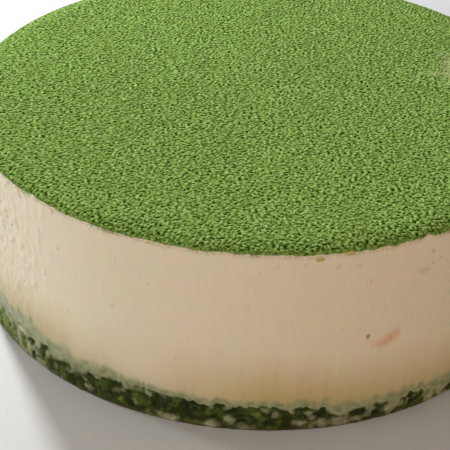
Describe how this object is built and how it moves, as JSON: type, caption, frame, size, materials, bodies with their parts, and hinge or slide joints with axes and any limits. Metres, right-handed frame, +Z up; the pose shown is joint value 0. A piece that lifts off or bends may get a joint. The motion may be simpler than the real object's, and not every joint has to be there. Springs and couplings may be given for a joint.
{
  "type": "tiramisu cake",
  "caption": "Low round whole cake: a thin dark crumbly base, a tall smooth cream side, and a flat powdered top that rolls over the rim.",
  "frame": {"origin": "middle of the flat foot, on the surface that the cake stands on", "axes": "+Z up along the cake's height; -Y is the side that faces the viewer"},
  "size_m": [0.1508, 0.1506, 0.0511],
  "materials": {
    "sponge": "dark green soaked sponge crumb, moist and rough",
    "cream": "set pale cream, smooth with fine pinholes, soft satin",
    "powder": "dry sifted green tea powder, granular and matt"
  },
  "bodies": {
    "root": {"sponge_base": "sponge", "mascarpone_cream": "cream", "matcha_powder": "powder"}
  },
  "joints": []
}
